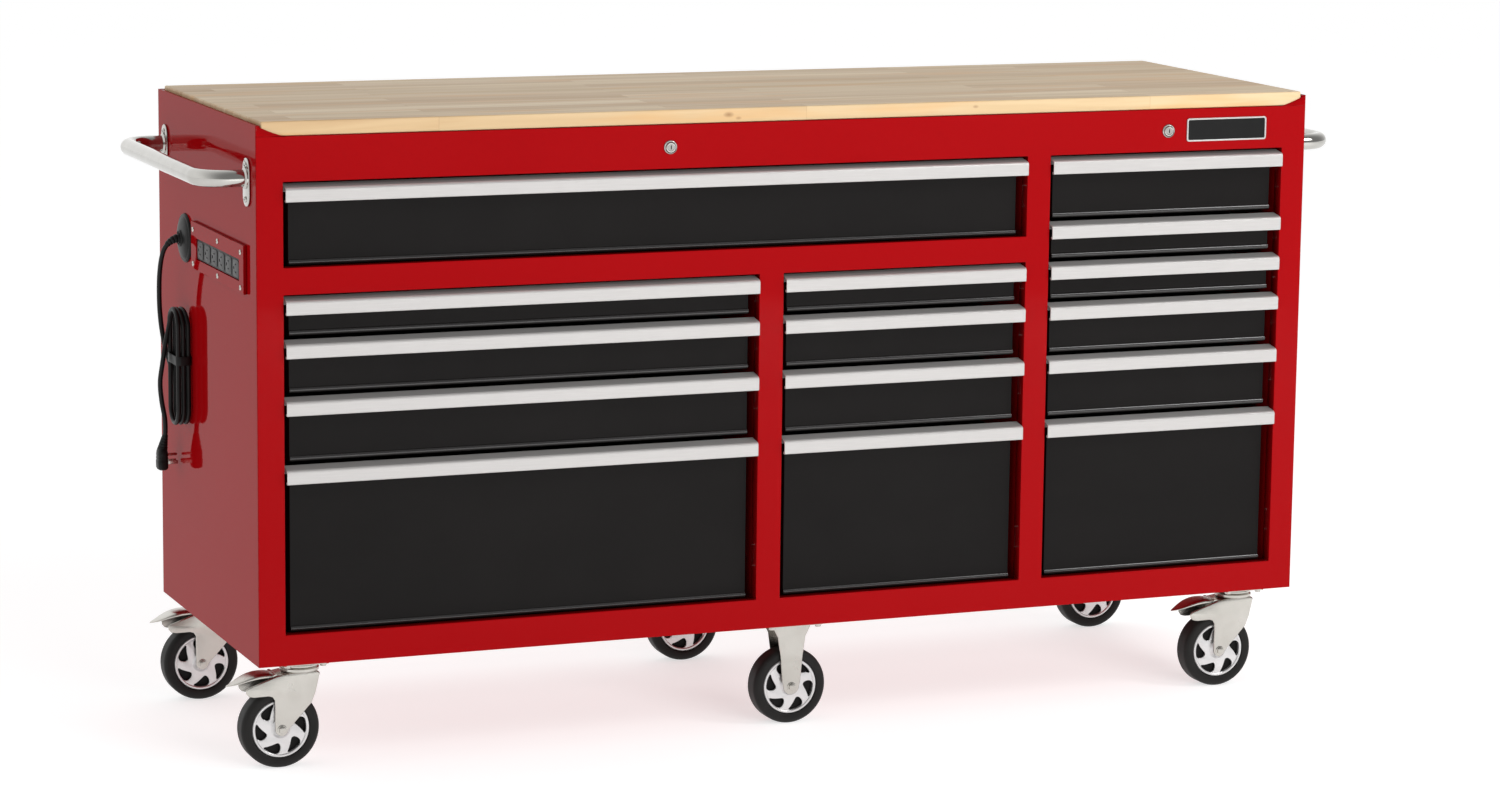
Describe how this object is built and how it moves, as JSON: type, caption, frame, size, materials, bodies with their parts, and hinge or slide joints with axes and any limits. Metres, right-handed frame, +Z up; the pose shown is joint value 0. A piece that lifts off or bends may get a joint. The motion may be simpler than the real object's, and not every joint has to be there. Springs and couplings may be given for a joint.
{
  "type": "rolling workbench",
  "caption": "Long steel workbench on swivel and fixed casters, with a wood top, columns of full-width-pull drawers, end push handles and a side power strip with a hanked cord.",
  "frame": {"origin": "on the floor, under the middle of the bounding box of the workbench without its cord", "axes": "+X along the length, towards the end away from the power strip; -Y towards the drawer side; +Z up"},
  "size_m": [2, 0.602, 1.0295],
  "materials": {
    "red_powder_coat": "glossy red powder coat on sheet steel",
    "black_powder_coat": "satin black powder coat on sheet steel",
    "satin_aluminium": "satin extruded aluminium",
    "butcher_block": "clear-coated pale wood staves glued edge to edge",
    "chrome": "bright chrome plate on steel",
    "zinc_steel": "bright zinc-plated pressed steel",
    "tyre_rubber": "smooth black tyre on a pale cast rim",
    "black_plastic": "fine-textured black moulded plastic",
    "cord_jacket": "smooth black flexible jacket"
  },
  "bodies": {
    "cabinet": {"cabinet_wrap": "red_powder_coat", "base_and_dividers": "red_powder_coat", "front_frame": "red_powder_coat", "wood_top": "butcher_block", "side_handle_left": "chrome", "side_handle_right": "chrome", "power_strip_cover": "red_powder_coat", "cord_outlet": "black_plastic", "cord_lead": "cord_jacket", "cord_tail": "cord_jacket", "cord_hank": "cord_jacket", "plug": "black_plastic", "fork_front_middle": "zinc_steel", "fork_rear_middle": "zinc_steel"},
    "main_lock": {"main_lock": "chrome"},
    "column_lock": {"column_lock": "chrome"},
    "fork_front_left": {"fork_front_left": "zinc_steel"},
    "pedal_front_left": {"pedal_front_left": "zinc_steel"},
    "fork_front_right": {"fork_front_right": "zinc_steel"},
    "pedal_front_right": {"pedal_front_right": "zinc_steel"},
    "fork_rear_left": {"fork_rear_left": "zinc_steel"},
    "pedal_rear_left": {"pedal_rear_left": "zinc_steel"},
    "fork_rear_right": {"fork_rear_right": "zinc_steel"},
    "pedal_rear_right": {"pedal_rear_right": "zinc_steel"},
    "wheel_front_left": {"wheel_front_left": "tyre_rubber"},
    "wheel_front_right": {"wheel_front_right": "tyre_rubber"},
    "wheel_front_middle": {"wheel_front_middle": "tyre_rubber"},
    "wheel_rear_left": {"wheel_rear_left": "tyre_rubber"},
    "wheel_rear_right": {"wheel_rear_right": "tyre_rubber"},
    "wheel_rear_middle": {"wheel_rear_middle": "tyre_rubber"},
    "drawer_wide_1": {"drawer_wide_1": "black_powder_coat", "pull_wide_1": "satin_aluminium"},
    "drawer_left_1": {"drawer_left_1": "black_powder_coat", "pull_left_1": "satin_aluminium"},
    "drawer_left_2": {"drawer_left_2": "black_powder_coat", "pull_left_2": "satin_aluminium"},
    "drawer_left_3": {"drawer_left_3": "black_powder_coat", "pull_left_3": "satin_aluminium"},
    "drawer_left_4": {"drawer_left_4": "black_powder_coat", "pull_left_4": "satin_aluminium"},
    "drawer_middle_1": {"drawer_middle_1": "black_powder_coat", "pull_middle_1": "satin_aluminium"},
    "drawer_middle_2": {"drawer_middle_2": "black_powder_coat", "pull_middle_2": "satin_aluminium"},
    "drawer_middle_3": {"drawer_middle_3": "black_powder_coat", "pull_middle_3": "satin_aluminium"},
    "drawer_middle_4": {"drawer_middle_4": "black_powder_coat", "pull_middle_4": "satin_aluminium"},
    "drawer_right_1": {"drawer_right_1": "black_powder_coat", "pull_right_1": "satin_aluminium"},
    "drawer_right_2": {"drawer_right_2": "black_powder_coat", "pull_right_2": "satin_aluminium"},
    "drawer_right_3": {"drawer_right_3": "black_powder_coat", "pull_right_3": "satin_aluminium"},
    "drawer_right_4": {"drawer_right_4": "black_powder_coat", "pull_right_4": "satin_aluminium"},
    "drawer_right_5": {"drawer_right_5": "black_powder_coat", "pull_right_5": "satin_aluminium"},
    "drawer_right_6": {"drawer_right_6": "black_powder_coat", "pull_right_6": "satin_aluminium"}
  },
  "joints": [
    {"name": "main_lock_turn", "type": "hinge", "parent": "cabinet", "child": "main_lock", "pos_m": [-0.235, -0.293, 0.97], "axis": [0, 1, 0], "range_deg": [0, 90]},
    {"name": "column_lock_turn", "type": "hinge", "parent": "cabinet", "child": "column_lock", "pos_m": [0.655, -0.293, 0.97], "axis": [0, 1, 0], "range_deg": [0, 90]},
    {"name": "brake_front_left_press", "type": "hinge", "parent": "fork_front_left", "child": "pedal_front_left", "pos_m": [-0.878, -0.237, 0.1475], "axis": [0, -1, 0], "range_deg": [0, 15]},
    {"name": "brake_front_right_press", "type": "hinge", "parent": "fork_front_right", "child": "pedal_front_right", "pos_m": [0.79, -0.237, 0.1475], "axis": [0, -1, 0], "range_deg": [0, 15]},
    {"name": "brake_rear_left_press", "type": "hinge", "parent": "fork_rear_left", "child": "pedal_rear_left", "pos_m": [-0.878, 0.245, 0.1475], "axis": [0, -1, 0], "range_deg": [0, 15]},
    {"name": "brake_rear_right_press", "type": "hinge", "parent": "fork_rear_right", "child": "pedal_rear_right", "pos_m": [0.79, 0.245, 0.1475], "axis": [0, -1, 0], "range_deg": [0, 15]},
    {"name": "caster_front_left_swivel", "type": "hinge", "parent": "cabinet", "child": "fork_front_left", "pos_m": [-0.834, -0.237, 0.1545], "axis": [0, 0, 1], "continuous": true},
    {"name": "caster_front_right_swivel", "type": "hinge", "parent": "cabinet", "child": "fork_front_right", "pos_m": [0.834, -0.237, 0.1545], "axis": [0, 0, 1], "continuous": true},
    {"name": "caster_rear_left_swivel", "type": "hinge", "parent": "cabinet", "child": "fork_rear_left", "pos_m": [-0.834, 0.245, 0.1545], "axis": [0, 0, 1], "continuous": true},
    {"name": "caster_rear_right_swivel", "type": "hinge", "parent": "cabinet", "child": "fork_rear_right", "pos_m": [0.834, 0.245, 0.1545], "axis": [0, 0, 1], "continuous": true},
    {"name": "wheel_front_left_spin", "type": "hinge", "parent": "fork_front_left", "child": "wheel_front_left", "pos_m": [-0.869, -0.237, 0.0635], "axis": [0, 1, 0], "continuous": true},
    {"name": "wheel_front_right_spin", "type": "hinge", "parent": "fork_front_right", "child": "wheel_front_right", "pos_m": [0.799, -0.237, 0.0635], "axis": [0, 1, 0], "continuous": true},
    {"name": "wheel_front_middle_spin", "type": "hinge", "parent": "cabinet", "child": "wheel_front_middle", "pos_m": [0, -0.237, 0.0635], "axis": [0, 1, 0], "continuous": true},
    {"name": "wheel_rear_left_spin", "type": "hinge", "parent": "fork_rear_left", "child": "wheel_rear_left", "pos_m": [-0.869, 0.245, 0.0635], "axis": [0, 1, 0], "continuous": true},
    {"name": "wheel_rear_right_spin", "type": "hinge", "parent": "fork_rear_right", "child": "wheel_rear_right", "pos_m": [0.799, 0.245, 0.0635], "axis": [0, 1, 0], "continuous": true},
    {"name": "wheel_rear_middle_spin", "type": "hinge", "parent": "cabinet", "child": "wheel_rear_middle", "pos_m": [0, 0.245, 0.0635], "axis": [0, 1, 0], "continuous": true},
    {"name": "drawer_wide_1_slide", "type": "slide", "parent": "cabinet", "child": "drawer_wide_1", "axis": [0, -1, 0], "range_m": [0, 0.45]},
    {"name": "drawer_left_1_slide", "type": "slide", "parent": "cabinet", "child": "drawer_left_1", "axis": [0, -1, 0], "range_m": [0, 0.45]},
    {"name": "drawer_left_2_slide", "type": "slide", "parent": "cabinet", "child": "drawer_left_2", "axis": [0, -1, 0], "range_m": [0, 0.45]},
    {"name": "drawer_left_3_slide", "type": "slide", "parent": "cabinet", "child": "drawer_left_3", "axis": [0, -1, 0], "range_m": [0, 0.45]},
    {"name": "drawer_left_4_slide", "type": "slide", "parent": "cabinet", "child": "drawer_left_4", "axis": [0, -1, 0], "range_m": [0, 0.45]},
    {"name": "drawer_middle_1_slide", "type": "slide", "parent": "cabinet", "child": "drawer_middle_1", "axis": [0, -1, 0], "range_m": [0, 0.45]},
    {"name": "drawer_middle_2_slide", "type": "slide", "parent": "cabinet", "child": "drawer_middle_2", "axis": [0, -1, 0], "range_m": [0, 0.45]},
    {"name": "drawer_middle_3_slide", "type": "slide", "parent": "cabinet", "child": "drawer_middle_3", "axis": [0, -1, 0], "range_m": [0, 0.45]},
    {"name": "drawer_middle_4_slide", "type": "slide", "parent": "cabinet", "child": "drawer_middle_4", "axis": [0, -1, 0], "range_m": [0, 0.45]},
    {"name": "drawer_right_1_slide", "type": "slide", "parent": "cabinet", "child": "drawer_right_1", "axis": [0, -1, 0], "range_m": [0, 0.45]},
    {"name": "drawer_right_2_slide", "type": "slide", "parent": "cabinet", "child": "drawer_right_2", "axis": [0, -1, 0], "range_m": [0, 0.45]},
    {"name": "drawer_right_3_slide", "type": "slide", "parent": "cabinet", "child": "drawer_right_3", "axis": [0, -1, 0], "range_m": [0, 0.45]},
    {"name": "drawer_right_4_slide", "type": "slide", "parent": "cabinet", "child": "drawer_right_4", "axis": [0, -1, 0], "range_m": [0, 0.45]},
    {"name": "drawer_right_5_slide", "type": "slide", "parent": "cabinet", "child": "drawer_right_5", "axis": [0, -1, 0], "range_m": [0, 0.45]},
    {"name": "drawer_right_6_slide", "type": "slide", "parent": "cabinet", "child": "drawer_right_6", "axis": [0, -1, 0], "range_m": [0, 0.45]}
  ]
}
